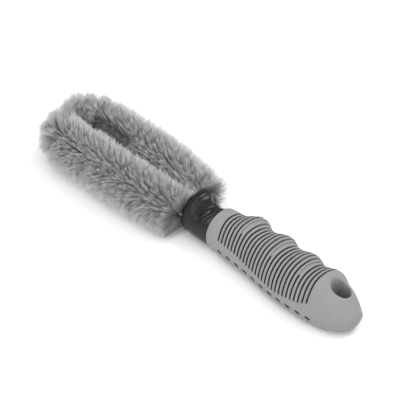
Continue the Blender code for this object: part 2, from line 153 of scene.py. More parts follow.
# Slots over the top and the underside of the grip, and short ones along each side.
SLOT_COUNT = 27
SLOT_FIRST_X = 32.0
SLOT_PITCH = 3.11
SLOT_HALF = 0.72
SLOT_EDGE_ROUND = 0.12
SLOT_EDGE_BAND = 0.16
SLOT_EDGE_DROP = 0.02
SLOT_LAND = 1.0
SLOT_END_STEPS = (0.0, 0.2, 0.6, 1.2, 1.8, 2.3)  # degrees in from a slot's end, along its round end
LINES_PER_SLOT = 6
OPENING_LINE = 2  # among a slot's lines, the one where its opening starts
SLOT_ARCS = [(25.0, 155.0), (205.0, 335.0)]
SLOT_NEAR_END = [(32.0, 162.0), (51.0, 166.0), (69.0, 174.0), (88.0, 178.0), (97.0, 172.0), (107.0, 166.0),
                 (113.0, 157.0), (125.0, 155.0)]
SHALLOW_SLOTS = (5, 14, 22)
SHALLOW_DEG = (44.0, 108.0)
SHALLOW_DEPTH = 0.8
SLOT_LEAN = [(23.0, 0.0), (31.0, 2.9), (60.0, 2.4), (88.0, 3.4), (107.0, 3.6), (113.5, 3.3), (128.0, 0.0)]
DASH_COUNT = 11
DASH_FIRST_X = 36.9
DASH_PITCH = 8.2
DASH_LENGTH = 4.4
DASH_HALF = 1.3
DASH_DEG = 9.0
DASH_SLANT_DEG = 10.0
DASH_SIDES = 24
DASH_CUT = (-GRIP_WALL - 0.8, 2.0)  # from below the skin to above it

# Hanging hole.
HOLE_X = 125.8
HOLE_Y = 3.7
HOLE_R = 6.6
HOLE_LIP = 1.8
HOLE_SIDES = 96
HOLE_CUT_Z = (-2.0, 45.0)

# Core neck and thumb rest.
NECK_CENTRE_Z = [(0.0, 15.4), (10.0, 15.0), (22.6, 14.0)]
NECK_R = [(0.0, 14.3), (0.25, 14.85), (0.8, 15.2), (2.0, 15.35), (6.0, 15.25), (10.0, 14.9),
          (16.0, 14.3), (22.6, 13.7)]
# The thumb rest's edge on the unrolled neck: an oval front and a straight line back to the grip.
DISH_OVAL = (15.5, 107.0)  # x, angle of its centre
DISH_OVAL_SIZE = (11.0, 15.5)
DISH_BACK_FROM = (14.4, 163.0)
DISH_BACK_TO = (22.6, 97.0)
DISH_FAR_DEG = -18.0
DISH_DEPTH = 3.8
DISH_STEP = 0.36
DISH_STEP_WIDTH = 0.9
DISH_BAND = 2.3
DISH_WIDTH = [(20.0, 9.0), (60.0, 7.0), (95.0, 5.0), (130.0, 4.5)]  # angle, length of its slope
RIDGE_HEIGHT = 0.7
RIDGE_WIDTH = 1.8
COLLAR_ROUND = 2.6
COLLAR_STEPS = (0.0, 0.05, 0.12, 0.2, 0.32, 0.5, 0.75, 1.0)
NECK_FROM_X = 3.0
NECK_ROWS = 96
BODY_ROWS = 56
CORE_SIDES = 360
POCKET_GAP = 0.3
FERRULE_POCKET_R = 3.3


# ---------------------------------------------------------------- shared helpers

def curve(stations, x):
    """Monotone cubic through (x, value) stations, at every x."""
    xs, ys = np.array(stations, float).T
    x = np.clip(np.asarray(x, float), xs[0], xs[-1])
    span = np.diff(xs)
    chord = np.diff(ys) / span
    before = np.concatenate([chord[:1], chord])
    after = np.concatenate([chord, chord[-1:]])
    rising = before * after > 0
    slope = np.where(rising, 2 * before * after / np.where(rising, before + after, 1.0), 0.0)
    i = np.clip(np.searchsorted(xs, x, side="right") - 1, 0, len(span) - 1)
    t = (x - xs[i]) / span[i]
    return (ys[i] * (1 + 2 * t) * (1 - t) ** 2 + ys[i + 1] * t * t * (3 - 2 * t)
            + span[i] * (slope[i] * t * (1 - t) ** 2 - slope[i + 1] * t * t * (1 - t)))


def smooth_step(t):
    t = np.clip(t, 0.0, 1.0)
    return t * t * (3 - 2 * t)


def soft_floor(value, limit, width):
    """value where it is well above limit, and never below limit, with a smooth bend between."""
    return limit + width * np.logaddexp(0.0, (value - limit) / width)


def unit(vectors):
    return vectors / np.linalg.norm(vectors, axis=-1, keepdims=True)


def make_mesh(name, points_mm, faces):
    """A smooth-shaded object that rides on the body, from points in millimetres."""
    mesh = bpy.data.meshes.new(name)
    mesh.from_pydata((np.asarray(points_mm) * MM).tolist(), [], faces)
    mesh.validate()
    mesh.shade_smooth()
    mesh.set_sharp_from_angle(angle=math.radians(SHARP_DEG))
    made = bpy.data.objects.new(name, mesh)
    bpy.context.collection.objects.link(made)
    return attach(made, BODY)


def quads_between(lower, upper, count):
    return [(lower + k, lower + (k + 1) % count, upper + (k + 1) % count, upper + k) for k in range(count)]


def tube(name, rings):
    """A closed solid through equal rings of points, each an array (count, 3)."""
    count = len(rings[0])
    faces = [q for i in range(len(rings) - 1) for q in quads_between(i * count, (i + 1) * count, count)]
    faces.append(tuple(reversed(range(count))))
    faces.append(tuple(range((len(rings) - 1) * count, len(rings) * count)))
    return make_mesh(name, np.concatenate(rings), faces)


def circle_ring(centre, side, up, radius, count):
    turn = np.linspace(0.0, 2 * math.pi, count, endpoint=False)[:, None]
    return np.array(centre) + radius * (np.cos(turn) * np.array(side) + np.sin(turn) * np.array(up))


def cut(target, cutters):
    """Subtracts cutters from target with exact Booleans, and removes them."""
    for cutter in cutters:
        modifier = target.modifiers.new("cut", "BOOLEAN")
        modifier.operation = "DIFFERENCE"
        modifier.solver = "EXACT"
        modifier.object = cutter
    graph = bpy.context.evaluated_depsgraph_get()
    result = bpy.data.meshes.new_from_object(target.evaluated_get(graph))
    target.modifiers.clear()
    target.data = result
    target.data.set_sharp_from_angle(angle=math.radians(SHARP_DEG))
    for cutter in cutters:
        bpy.data.objects.remove(cutter)
    return target


# ---------------------------------------------------------------- materials

def new_material(name, color, roughness, metallic=0.0, specular=0.5):
    """A Principled material, with its node tree and shader node."""
    material = bpy.data.materials.new(name)
    material.use_nodes = True
    shader = material.node_tree.nodes["Principled BSDF"]
    shader.inputs["Base Color"].default_value = (*color, 1.0)
    shader.inputs["Roughness"].default_value = roughness
    shader.inputs["Metallic"].default_value = metallic
    shader.inputs["Specular IOR Level"].default_value = specular
    return material, material.node_tree, shader


def noise_node(tree, scale, detail=3.0):
    """Noise in object space; its scale is per metre."""
    place = tree.nodes.new("ShaderNodeTexCoord")
    noise = tree.nodes.new("ShaderNodeTexNoise")
    noise.inputs["Scale"].default_value = scale
    noise.inputs["Detail"].default_value = detail
    tree.links.new(place.outputs["Object"], noise.inputs["Vector"])
    return noise


def ramp(tree, value, stops):
    """Colour ramp over (position, grey or colour) stops."""
    node = tree.nodes.new("ShaderNodeValToRGB")
    elements = node.color_ramp.elements
    while len(elements) < len(stops):
        elements.new(0.5)
    for element, (position, color) in zip(elements, stops):
        element.position = position
        element.color = (*color, 1.0)
    tree.links.new(value, node.inputs["Fac"])
    return node.outputs["Color"]


def value_range(tree, value, low, high):
    node = tree.nodes.new("ShaderNodeMapRange")
    node.inputs["To Min"].default_value = low
    node.inputs["To Max"].default_value = high
    tree.links.new(value, node.inputs["Value"])
    return node.outputs["Result"]


def add_bump(tree, shader, height, strength, distance):
    bump = tree.nodes.new("ShaderNodeBump")
    bump.inputs["Strength"].default_value = strength
    bump.inputs["Distance"].default_value = distance
    tree.links.new(height, bump.inputs["Height"])
    tree.links.new(bump.outputs["Normal"], shader.inputs["Normal"])


def rubber_material():
    """Matt grey rubber: fine moulded grain and faint clouding."""
    material, tree, shader = new_material("grey_rubber", (0.23, 0.23, 0.23), 0.6, specular=0.2)
    cloud = noise_node(tree, 60.0)
    grey = ramp(tree, cloud.outputs["Fac"], [(0.3, (0.224, 0.224, 0.225)), (0.7, (0.240, 0.240, 0.239))])
    tree.links.new(grey, shader.inputs["Base Color"])
    tree.links.new(value_range(tree, noise_node(tree, 700.0).outputs["Fac"], 0.52, 0.68),
                   shader.inputs["Roughness"])
    add_bump(tree, shader, noise_node(tree, 2600.0, 2.0).outputs["Fac"], 0.25, 0.00012)
    return material


def plastic_material():
    """Black moulded plastic with a low satin gloss."""
    material, tree, shader = new_material("black_plastic", (0.010, 0.010, 0.011), 0.28, specular=0.27)
    cloud = noise_node(tree, 90.0)
    black = ramp(tree, cloud.outputs["Fac"], [(0.3, (0.006, 0.006, 0.0065)), (0.7, (0.008, 0.008, 0.0085))])
    tree.links.new(black, shader.inputs["Base Color"])
    tree.links.new(value_range(tree, noise_node(tree, 500.0).outputs["Fac"], 0.22, 0.32),
                   shader.inputs["Roughness"])
    add_bump(tree, shader, noise_node(tree, 3200.0, 2.0).outputs["Fac"], 0.12, 0.00006)
    return material


def steel_material():
    """Galvanised steel, with the drawn wire's faint streaks and spangle."""
    material, tree, shader = new_material("galvanised_steel", (0.55, 0.56, 0.57), 0.38, metallic=1.0)
    spangle = noise_node(tree, 450.0, 4.0)
    zinc = ramp(tree, spangle.outputs["Fac"], [(0.35, (0.46, 0.47, 0.48)), (0.65, (0.62, 0.63, 0.64))])
    tree.links.new(zinc, shader.inputs["Base Color"])
    tree.links.new(value_range(tree, noise_node(tree, 900.0).outputs["Fac"], 0.3, 0.5),
                   shader.inputs["Roughness"])
    return material


def filament_material():
    """Soft nylon filaments, each tuft a little different in tone, with painted shade dark at the root and
    painted light pale at the tip.
    """
    material, tree, shader = new_material("grey_filament", (0.40, 0.39, 0.38), 0.55, specular=0.25)
    along = tree.nodes.new("ShaderNodeAttribute")
    along.attribute_name = "along"
    tone = tree.nodes.new("ShaderNodeAttribute")
    tone.attribute_name = "tone"
    # Painted light along each bristle: the dark root is painted shade from deep inside the brush, and the
    # pale tip is a painted glow of light through the thin ends.
    base = ramp(tree, along.outputs["Fac"], [(0.0, (0.22, 0.216, 0.211)), (0.5, (0.36, 0.353, 0.345)),
                                             (0.8, (0.51, 0.503, 0.493)), (1.0, (0.74, 0.73, 0.716))])
    tint = ramp(tree, tone.outputs["Fac"], [(0.0, (0.95, 0.95, 0.95)), (1.0, (1.0, 1.0, 1.0))])
    mix = tree.nodes.new("ShaderNodeMix")
    mix.data_type = "RGBA"
    mix.blend_type = "MULTIPLY"
    mix.inputs["Factor"].default_value = 1.0
    tree.links.new(base, mix.inputs["A"])
    tree.links.new(tint, mix.inputs["B"])
    tree.links.new(mix.outputs["Result"], shader.inputs["Base Color"])
    return material


def finish_piece(piece, material, slot, *nodes):
    """Gives a piece its material and hides the CAD nodes that it stands for. The slot argument is not used.
    """
    piece.data.materials.clear()
    piece.data.materials.append(material)
    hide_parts(*nodes)
    return piece


# ---------------------------------------------------------------- grip and core

def finger_bump(x):
    total = np.zeros_like(x)
    for centre, height in FINGER_BUMPS:
        away = np.clip(np.abs(x - centre) / BUMP_REACH, 0.0, 1.0)
        total += height * (0.5 + 0.5 * np.cos(math.pi * away))
    return total


def end_factor(x):
    """Closes the butt in a round end."""
    past = np.clip((x - (SLEEVE_END_X - END_ROUND)) / END_ROUND, 0.0, 1.0)
    return np.sqrt(np.maximum(1.0 - past * past, 0.0))


def squared_direction(x, angle):
    """Cosine and sine of angles, bulging out to a squarer corner in the lower near quarter."""
    cosine = np.cos(angle)
    sine = np.sin(angle)
    power = np.where((cosine < 0) & (sine < 0), 2.0 / curve(SQUARENESS, x), 1.0)
    return np.sign(cosine) * np.abs(cosine) ** power, np.sign(sine) * np.abs(sine) ** power


def grip_surface(x, degrees, inset=0.0, skin=True):
    """Points of the grip at arrays of x and angle. The finger bumps are on its outer skin only."""
    angle = np.radians(degrees)
    signed = (degrees + 180.0) % 360.0 - 180.0
    across = np.where(np.cos(angle) > 0, curve(GRIP_FAR, x), curve(GRIP_NEAR, x))
    height = np.where(np.sin(angle) > 0, curve(GRIP_TOP, x), curve(GRIP_UNDER, x))
    swell = finger_bump(x) * curve(BUMP_ROUND, signed) if skin else 0.0
    close = end_factor(x)
    cosine, sine = squared_direction(x, angle)
    y = (across * close + swell - inset) * cosine
    z = curve(GRIP_CENTRE_Z, x) + (height * close + swell - inset) * sine
    return np.stack([x, y, np.maximum(z, 0.0 if skin else inset)], -1)


def sleeve_angles():
    """Angles of the sleeve's grid, closer at the slots' ends."""
    angles = []
    for first, last in SLOT_ARCS:
        angles += [first + s for s in SLOT_END_STEPS]
        angles += list(np.linspace(first + 3.6, last - 3.6, 76))
        angles += [last - s for s in reversed(SLOT_END_STEPS)]
    angles += list(np.linspace(156.0, 204.0, 34))
    angles += list(np.linspace(336.0, 384.0, 34))
    return np.array(sorted(angles))


def slot_shape(degrees):
    """How wide each slot is at an angle, from 0 past its ends to 1, and whether it is open there."""
    degrees = np.asarray(degrees)
    inside = np.full(degrees.shape, -1.0)
    for first, last in SLOT_ARCS:
        inside = np.maximum(inside, np.minimum(degrees - first, last - degrees))
    along = np.clip(inside / SLOT_END_STEPS[-1], 0.0, 1.0)
    width = np.sqrt(1.0 - (1.0 - along) ** 2)
    return np.where(inside >= 0.0, np.maximum(width, 0.06), 0.3), inside >= 0.0


def lean(x, degrees):
    """Moves grid lines back along the grip towards its near side, as the slots lean there."""
    turned = np.abs((degrees - 180.0 + 180.0) % 360.0 - 180.0)
    return x + curve(SLOT_LEAN, x) * smooth_step((86.0 - turned) / 66.0)


def bent_angles(x, degrees):
    """The grid's angles at x, stretched so that the upper slots end where SLOT_NEAR_END says."""
    first_end = SLOT_ARCS[0][1]
    second_start = SLOT_ARCS[1][0]
    end = curve(SLOT_NEAR_END, x)
    upper = 90.0 + (degrees - 90.0) * (end - 90.0) / (first_end - 90.0)
    side = end + (degrees - first_end) * (second_start - end) / (second_start - first_end)
    bent = np.where((degrees > 90.0) & (degrees <= first_end), upper, degrees)
    return np.where((degrees > first_end) & (degrees < second_start), side, bent)


def is_shallow(slot, degrees):
    """Where a slot fades to a shallow groove, on the crest of a finger bump."""
    return (slot in SHALLOW_SLOTS) & (degrees > SHALLOW_DEG[0]) & (degrees < SHALLOW_DEG[1])


def sleeve_lines():
    """Lines of the sleeve's grid along x: (x, offset that follows the slot's width, edge drop, slot)."""
    lines = [(SLEEVE_FRONT_X + d, 0.0, 0.0, -1) for d in FRONT_STEPS]
    beside = SLOT_HALF + SLOT_EDGE_BAND
    for k in range(SLOT_COUNT):
        middle = SLOT_FIRST_X + k * SLOT_PITCH
        lines += [(middle - SLOT_LAND, 0.0, 0.0, -1), (middle, -beside, SLOT_EDGE_DROP, -1),
                  (middle, -SLOT_HALF, SLOT_EDGE_ROUND, k), (middle, SLOT_HALF, SLOT_EDGE_ROUND, k),
                  (middle, beside, SLOT_EDGE_DROP, -1), (middle + SLOT_LAND, 0.0, 0.0, -1)]
    return lines


def hole_drop(points):
    """How far the skin falls away round the hanging hole's mouth, as a round lip."""
    reach = np.hypot(points[..., 0] - HOLE_X, points[..., 1] - HOLE_Y)
    into = np.clip(HOLE_R + HOLE_LIP - reach, 0.0, HOLE_LIP)
    return HOLE_LIP - np.sqrt(HOLE_LIP ** 2 - into ** 2)


def rim_rounding(xs):
    """How far the skin falls away at the sleeve's rounded front rim."""
    rim = np.clip((SLEEVE_FRONT_X + RIM_ROUND - xs) / RIM_ROUND, 0.0, 1.0)
    return RIM_ROUND * (1.0 - np.sqrt(1.0 - rim * rim))


def butt_xs(last_x):
    """Rings of the solid butt, from the last grid line to its round end."""
    round_x = SLEEVE_END_X - END_ROUND
    xs = list(np.arange(last_x + BUTT_STEP, round_x, BUTT_STEP))
    return xs + [round_x + END_ROUND * math.sin(u) for u in np.linspace(0.0, 0.49 * math.pi, BUTT_END_RINGS)]


def sleeve_skin():
    """The grip's skin over the core and its solid butt, in one closed mesh with open slots."""
    degrees = sleeve_angles()
    width, is_open = slot_shape(degrees)
    lines = sleeve_lines()
    outer = []
    inner = []
    for x, offset, drop, slot in lines:
        angles = bent_angles(x, degrees)
        xs = lean(x, degrees) + offset * width
        shallow = is_shallow(slot, degrees) & (drop > 0.0)
        drop_here = np.where(is_open, np.where(shallow, SHALLOW_DEPTH, drop), 0.0) + rim_rounding(xs)
        shell = grip_surface(xs, angles)
        shell[:, 1] -= drop_here * np.cos(np.radians(angles))
        shell[:, 2] = np.maximum(shell[:, 2] - drop_here * np.sin(np.radians(angles)), 0.0)
        outer.append(shell)
        inner.append(grip_surface(xs, angles, GRIP_WALL, skin=False))
    for x in butt_xs(lines[-1][0]):
        outer.append(grip_surface(lean(x, degrees), bent_angles(x, degrees)))
    points = np.concatenate(outer + inner)
    outside = len(outer) * len(degrees)
    lowered = hole_drop(points[:outside])
    up = np.sin(np.radians(np.tile(degrees, len(outer)))) > 0
    points[:outside, 2] -= np.where(up, lowered, -lowered)
    return make_mesh("grip", points, skin_faces(len(outer), len(lines), degrees, is_open))


def skin_faces(rings, skin_rings, degrees, is_open):
    """Faces of the sleeve: outer and inner skin, slot walls, front rim, inner end and butt end."""
    count = len(degrees)
    inside = rings * count
    open_rings = {len(FRONT_STEPS) + LINES_PER_SLOT * k + OPENING_LINE: is_open & ~is_shallow(k, degrees)
                  for k in range(SLOT_COUNT)}
    faces = quads_between(inside, 0, count)
    for ring in range(rings - 1):
        here = open_rings.get(ring, np.zeros(count, bool))
        both_open = (here & np.roll(here, -1)).tolist()
        for k in range(count):
            a = ring * count + k
            b = ring * count + (k + 1) % count
            if both_open[k]:
                faces.append((a, b, inside + b, inside + a))
                faces.append((b + count, a + count, inside + a + count, inside + b + count))
                if not both_open[k - 1]:
                    faces.append((a + count, a, inside + a, inside + a + count))
                if not both_open[(k + 1) % count]:
                    faces.append((b, b + count, inside + b + count, inside + b))
                continue
            faces.append((a, b, b + count, a + count))
            if ring < skin_rings - 1:
                faces.append((inside + b, inside + a, inside + a + count, inside + b + count))
    faces.append(tuple(range((rings - 1) * count, rings * count)))
    inner_end = inside + (skin_rings - 1) * count
    faces.append(tuple(reversed(range(inner_end, inner_end + count))))
    return faces


def dash_cutter(x, side):
    """A short round-ended cutter through the skin, on the near or far side."""
    degrees = 180.0 + DASH_DEG if side < 0 else -DASH_DEG
    at = grip_surface(np.array([x]), np.array([degrees]))[0]
    outward = np.array([0.0, math.cos(math.radians(degrees)), math.sin(math.radians(degrees))])
    slant = math.radians(DASH_SLANT_DEG)
    along = np.array([math.cos(slant), 0.0, -math.sin(slant)])
    across = np.cross(outward, along)
    half = DASH_LENGTH / 2 - DASH_HALF
    ring = []
    for k in range(DASH_SIDES):
        turn = 2 * math.pi * k / DASH_SIDES
        shift = half if math.cos(turn) > 0 else -half
        ring.append(along * (shift + DASH_HALF * math.cos(turn)) + across * (DASH_HALF * math.sin(turn)))
    ring = np.array(ring)
    return tube("dash_cutter", [at + outward * d + ring for d in DASH_CUT])


def grip_piece(material):
    grip = sleeve_skin()
    cutters = [dash_cutter(DASH_FIRST_X + k * DASH_PITCH, side) for k in range(DASH_COUNT)
               for side in (-1, 1)]
    rings = [circle_ring((HOLE_X, HOLE_Y, z), (1, 0, 0), (0, 1, 0), HOLE_R, HOLE_SIDES) for z in HOLE_CUT_Z]
    cutters.append(tube("hole_cutter", rings))
    return finish_piece(cut(grip, cutters), material, "grey_rubber", "grip_sleeve")


def smooth_min(a, b, width):
    """The smaller of two values, with a smooth bend where they are alike."""
    return -width * np.logaddexp(-a / width, -b / width)


def dish_distance(x, signed, base):
    """How far inside the thumb rest's edge a point of the neck is, in millimetres."""
    per_degree = math.radians(1.0) * base
    ahead = np.maximum(DISH_OVAL[0] - x, 0.0) / DISH_OVAL_SIZE[0]
    beside = np.maximum(signed - DISH_OVAL[1], 0.0) * per_degree / DISH_OVAL_SIZE[1]
    reach = np.maximum(np.hypot(ahead, beside), 0.05)
    slant = np.maximum(np.hypot(ahead / DISH_OVAL_SIZE[0], beside / DISH_OVAL_SIZE[1]), 0.004)
    in_oval = np.minimum((1.0 - reach) * reach / slant, 12.0)
    back_x = DISH_BACK_TO[0] - DISH_BACK_FROM[0]
    back_side = (DISH_BACK_TO[1] - DISH_BACK_FROM[1]) * per_degree
    from_back = (back_side * (x - DISH_BACK_FROM[0]) - back_x * (signed - DISH_BACK_FROM[1]) * per_degree
                 ) / np.hypot(back_x, back_side)
    from_far = (signed - DISH_FAR_DEG) * per_degree
    return smooth_min(smooth_min(in_oval, from_back, 0.5), from_far, 1.0)


def neck_radius(x, degrees):
    """Radius of the neck, with the thumb rest's double chamfer, its dish and the ridge behind it."""
    base = curve(NECK_R, x)
    signed = (degrees + 90.0) % 360.0 - 90.0
    into = dish_distance(x, signed, base)
    near = smooth_step((signed - 52.0) / 26.0)
    behind = smooth_step((x - 14.0) / 2.5)
    chamfers = (np.clip(into / DISH_STEP_WIDTH, 0.0, 1.0)
                + np.clip((into - DISH_BAND) / DISH_STEP_WIDTH, 0.0, 1.0))
    step = DISH_STEP * near * (1.0 - behind) * chamfers
    start = near * (1.0 - behind) * (DISH_BAND + DISH_STEP_WIDTH)
    slope = smooth_step((into - start) / curve(DISH_WIDTH, signed))
    far_fade = 0.85 * smooth_step((x - 15.5) / 6.0) * smooth_step((72.0 - signed) / 40.0)
    on_edge = np.exp(-((into - 0.2) / RIDGE_WIDTH) ** 2)
    ridge = RIDGE_HEIGHT * behind * on_edge * smooth_step((signed - 40.0) / 30.0)
    return base - step - DISH_DEPTH * slope * (1.0 - far_fade) + ridge


def neck_rings(degrees):
    """Rings of the collar and the neck, close together at the collar's rounded front."""
    rows = [CORE_FRONT_X + COLLAR_ROUND * t for t in COLLAR_STEPS]
    rows += list(np.linspace(NECK_FROM_X, SLEEVE_FRONT_X - 0.4, NECK_ROWS))
    rings = []
    for row in rows:
        xs = np.full(len(degrees), row)
        radius = neck_radius(xs, degrees)
        centre = curve(NECK_CENTRE_Z, xs)
        cosine, sine = squared_direction(xs, np.radians(degrees))
        rings.append(np.stack([xs, radius * cosine, centre + radius * sine], -1))
    return rings


def stem_cutters(side):
    """Cutters for one stem's bore and for the pocket of its ferrule."""
    stem_xs = np.linspace(CORE_FRONT_X - 1.0, STEM_END_X + 0.6, 14)
    bore = [circle_ring(leg_point(x, side), (0, 1, 0), (0, 0, 1), STEM_BORE_R, 24) for x in stem_xs]
    low, high = box_mm("stem_ferrule_left" if side < 0 else "stem_ferrule_right")
    pocket = [circle_ring((x, side * STEM_Y, STEM_Z), (0, 1, 0), (0, 0, 1), FERRULE_POCKET_R, 32)
              for x in (low[0] - POCKET_GAP, high[0] + POCKET_GAP)]
    return [tube("bore_cutter", bore), tube("ferrule_cutter", pocket)]


def plate_cutter():
    """A cutter for the anchor plate's pocket."""
    low, high = box_mm("anchor_plate")
    low = low - POCKET_GAP
    high = high + POCKET_GAP
    corners = [(low[1], low[2]), (high[1], low[2]), (high[1], high[2]), (low[1], high[2])]
    return tube("plate_cutter", [np.array([(x, y, z) for y, z in corners]) for x in (low[0], high[0])])


def core_piece(material):
    """Collar, neck and thumb rest, and the body that shows in the grip's slots."""
    degrees = np.linspace(0.0, 360.0, CORE_SIDES, endpoint=False)
    rings = neck_rings(degrees)
    for x in np.linspace(SLEEVE_FRONT_X - 0.35, CORE_END_X, BODY_ROWS):
        rings.append(grip_surface(lean(x, degrees), degrees, CORE_INSET, skin=False))
    core = tube("core", rings)
    cutters = stem_cutters(-1) + stem_cutters(1) + [plate_cutter()]
    return finish_piece(cut(core, cutters), material, "black_plastic", "handle_core")


# ---------------------------------------------------------------- wire

def leg_point(x, side):
    return np.array([x, side * float(curve(LEG_Y, x)), float(curve(LEG_Z, x))])


def loop_path():
    """The wire's centre line from the left stem, round the tip, to the right stem."""
    leg_count = round((STEM_END_X - LOOP_CENTRE_X) / WIRE_STEP)
    leg_xs = np.linspace(STEM_END_X, LOOP_CENTRE_X, leg_count + 1)
    arc = np.linspace(0.0, math.pi, round(math.pi * LOOP_RADIUS / WIRE_STEP) + 1)[1:-1]
    points = [leg_point(x, -1) for x in leg_xs]
    points += [np.array([LOOP_CENTRE_X - LOOP_RADIUS * math.sin(a), -LOOP_RADIUS * math.cos(a), LEG_Z[0][1]])
               for a in arc]
    return np.array(points + [leg_point(x, 1) for x in leg_xs[::-1]])


def wire_piece(name, node, phase, material):
    """One strand, a helix about the loop's centre line."""
    path = loop_path()
    tangent = unit(np.gradient(path, axis=0))
    outward = unit(np.cross(tangent, (0.0, 0.0, 1.0)))
    above = np.cross(outward, tangent)
    travelled = np.concatenate([[0.0], np.cumsum(np.linalg.norm(np.diff(path, axis=0), axis=1))])
    turn = (2 * math.pi * travelled / TWIST_PITCH + phase)[:, None]
    centres = path + TWIST_R * (outward * np.cos(turn) + above * np.sin(turn))
    heading = unit(np.gradient(centres, axis=0))
    side = unit(np.cross(heading, (0.0, 0.0, 1.0)))
    rings = [circle_ring(c, s, np.cross(s, h), STRAND_R, WIRE_SIDES)
             for c, s, h in zip(centres, side, heading)]
    return finish_piece(tube(name, rings), material, "steel", node)


# ---------------------------------------------------------------- bristles

def leg_roots(generator, x_span, side):
    """Roots, and outward directions, of bristles along a straight leg."""
    count = round(abs(x_span[1] - x_span[0]) * LEG_PER_MM)
    x = generator.uniform(min(x_span), max(x_span), count)
    centre = np.stack([x, side * curve(LEG_Y, x), curve(LEG_Z, x)], -1)
    outward = np.tile((0.0, side, 0.0), (count, 1))
    return centre, outward, np.full(count, BRISTLE_REACH), x


def corner_roots(generator, side):
    """Roots of bristles round half of the tip."""
    count = round(LOOP_RADIUS * math.pi / 2 * TIP_PER_MM)
    angle = generator.uniform(0.0, math.pi / 2, count)
    outward = np.stack([-np.sin(angle), side * np.cos(angle), np.zeros(count)], -1)
    centre = np.array([LOOP_CENTRE_X, 0.0, LEG_Z[0][1]]) + outward * LOOP_RADIUS
    reach = BRISTLE_REACH + (TIP_REACH - BRISTLE_REACH) * np.sin(angle) ** 2
    if side > 0:
        reach = reach + FAR_CORNER_EXTRA * np.sin(2.0 * angle) * np.sin(angle) ** 4
    return centre, outward, reach, -LOOP_RADIUS * angle


def nearest_tuft(tips, tufts):
    """Index of each tip's nearest tuft, and how far it is."""
    square = (tips ** 2).sum(1)[:, None] + (tufts ** 2).sum(1)[None] - 2 * tips @ tufts.T
    index = square.argmin(1)
    return index, np.sqrt(np.maximum(square[np.arange(len(tips)), index], 0.0))


def parted_length(length, centre, direction):
    """Shortens the far leg's inner bristles along the loop's opening, and lengthens them by the collar."""
    past = np.degrees(np.arctan2(direction[:, 2], direction[:, 1])) - PARTING_DEG
    whole = smooth_step((PARTING_HALF_DEG - np.abs(past)) / PARTING_FADE_DEG)
    start, stop = PARTING_X
    parting = whole * smooth_step((stop - centre[:, 0]) / (stop - start))
    return length * (1.0 - PARTING_DEPTH * parting + INNER_EXTRA * (whole - parting))


def bristle_directions(generator, outward, travelled):
    """Directions in which bristles leave the twisted wire."""
    count = len(outward)
    up = np.array([0.0, 0.0, 1.0])
    axis = np.cross(outward, up)
    helix = 2 * math.pi * travelled / TWIST_PITCH + math.pi * generator.integers(0, 2, count)
    round_wire = helix + generator.normal(0.0, TWIST_SPREAD, count)
    direction = outward * np.cos(round_wire)[:, None] + up * np.sin(round_wire)[:, None]
    return unit(direction + axis * generator.normal(0.0, ALONG_SPREAD, count)[:, None])


def bristle_paths(generator, roots, side, is_corner):
    """Centre lines (bristle, ring, 3) in pointed tufts, with painted shade along them and a tone each."""
    centre, outward, reach, travelled = roots
    count = len(centre)
    direction = bristle_directions(generator, outward, travelled)
    tips = centre + direction * reach[:, None]
    tuft_count = round(2 * math.pi * reach.mean() * np.ptp(travelled) / TUFT_SPACING ** 2)
    tufts = tips[generator.choice(count, tuft_count, replace=False)]
    own, apart = nearest_tuft(tips, tufts)
    length = (reach * generator.uniform(*TUFT_LENGTHS, tuft_count)[own]
              * (1.0 - TUFT_SLOPE * apart / TUFT_SPACING) * generator.uniform(*BRISTLE_LENGTHS, count))
    if side > 0 and not is_corner:
        length = parted_length(length, centre, direction)
    gather = (tufts[own] - tips) * TUFT_PULL
    sideways = np.cross(direction, unit(generator.normal(size=(count, 3))))
    bend = sideways * generator.uniform(0.0, BRISTLE_BEND, count)[:, None]
    t = np.linspace(0.0, 1.0, BRISTLE_RINGS)[None, :, None]
    travel = BRISTLE_START + (length[:, None, None] - BRISTLE_START) * t
    path = (centre[:, None] + direction[:, None] * travel
            + gather[:, None] * t ** 2.2 + bend[:, None] * t ** 2)
    tone = generator.uniform(0.0, 1.0, tuft_count)[own] * 0.7 + generator.uniform(0.0, 0.3, count)
    # Painted shade: a shortened bristle never reaches the pale tip colour, so the parted ones inside the
    # loop look darker.
    along = t[..., 0] * (length / reach)[:, None]
    return press_bristles(generator, path, outward, side, is_corner), along, tone


def press_bristles(generator, path, outward, side, is_corner):
    """Keeps bristles off the floor, the collar and the bristles that face them."""
    give = generator.uniform(-1.5, 1.5, len(path))[:, None]
    if is_corner:
        pivot = np.array([LOOP_CENTRE_X, 0.0, 0.0])
        out = ((path - pivot) * outward[:, None]).sum(-1)
        path = path + outward[:, None] * (soft_floor(out, 1.0 + give * 0.5, 1.5) - out)[..., None]
    else:
        inner = side * path[..., 1]
        path[..., 1] = side * soft_floor(inner, 0.5 + give, 1.2)
        path[..., 0] = x_beside_collar(path, give)
    path[..., 2] = soft_floor(path[..., 2], 0.3, 0.35)
    return path


def x_beside_collar(path, give):
    """Ends a leg's bristles in a ragged face at the collar, and fans the upper ones out over it."""
    height = path[..., 2] - NECK_CENTRE_Z[0][1]
    radius = np.hypot(path[..., 1], height)
    upward = (height + 0.5 * path[..., 1]) / np.maximum(radius, 1.0)
    inner, outer = COLLAR_FAN_R
    spread = np.where(upward > 0.0, np.clip((radius - inner) / (outer - inner), 0.0, 1.0) ** 1.3,
                      np.clip(radius / 20.0, 0.0, 1.0))
    near_collar = np.clip((path[..., 0] + COLLAR_FAN_X) / COLLAR_FAN_X, 0.0, 1.0) ** 1.5
    face = -COLLAR_CLEARANCE - COLLAR_RAGGED * (give + 1.5)
    return np.minimum(path[..., 0], face) + spread * near_collar * COLLAR_FAN * upward


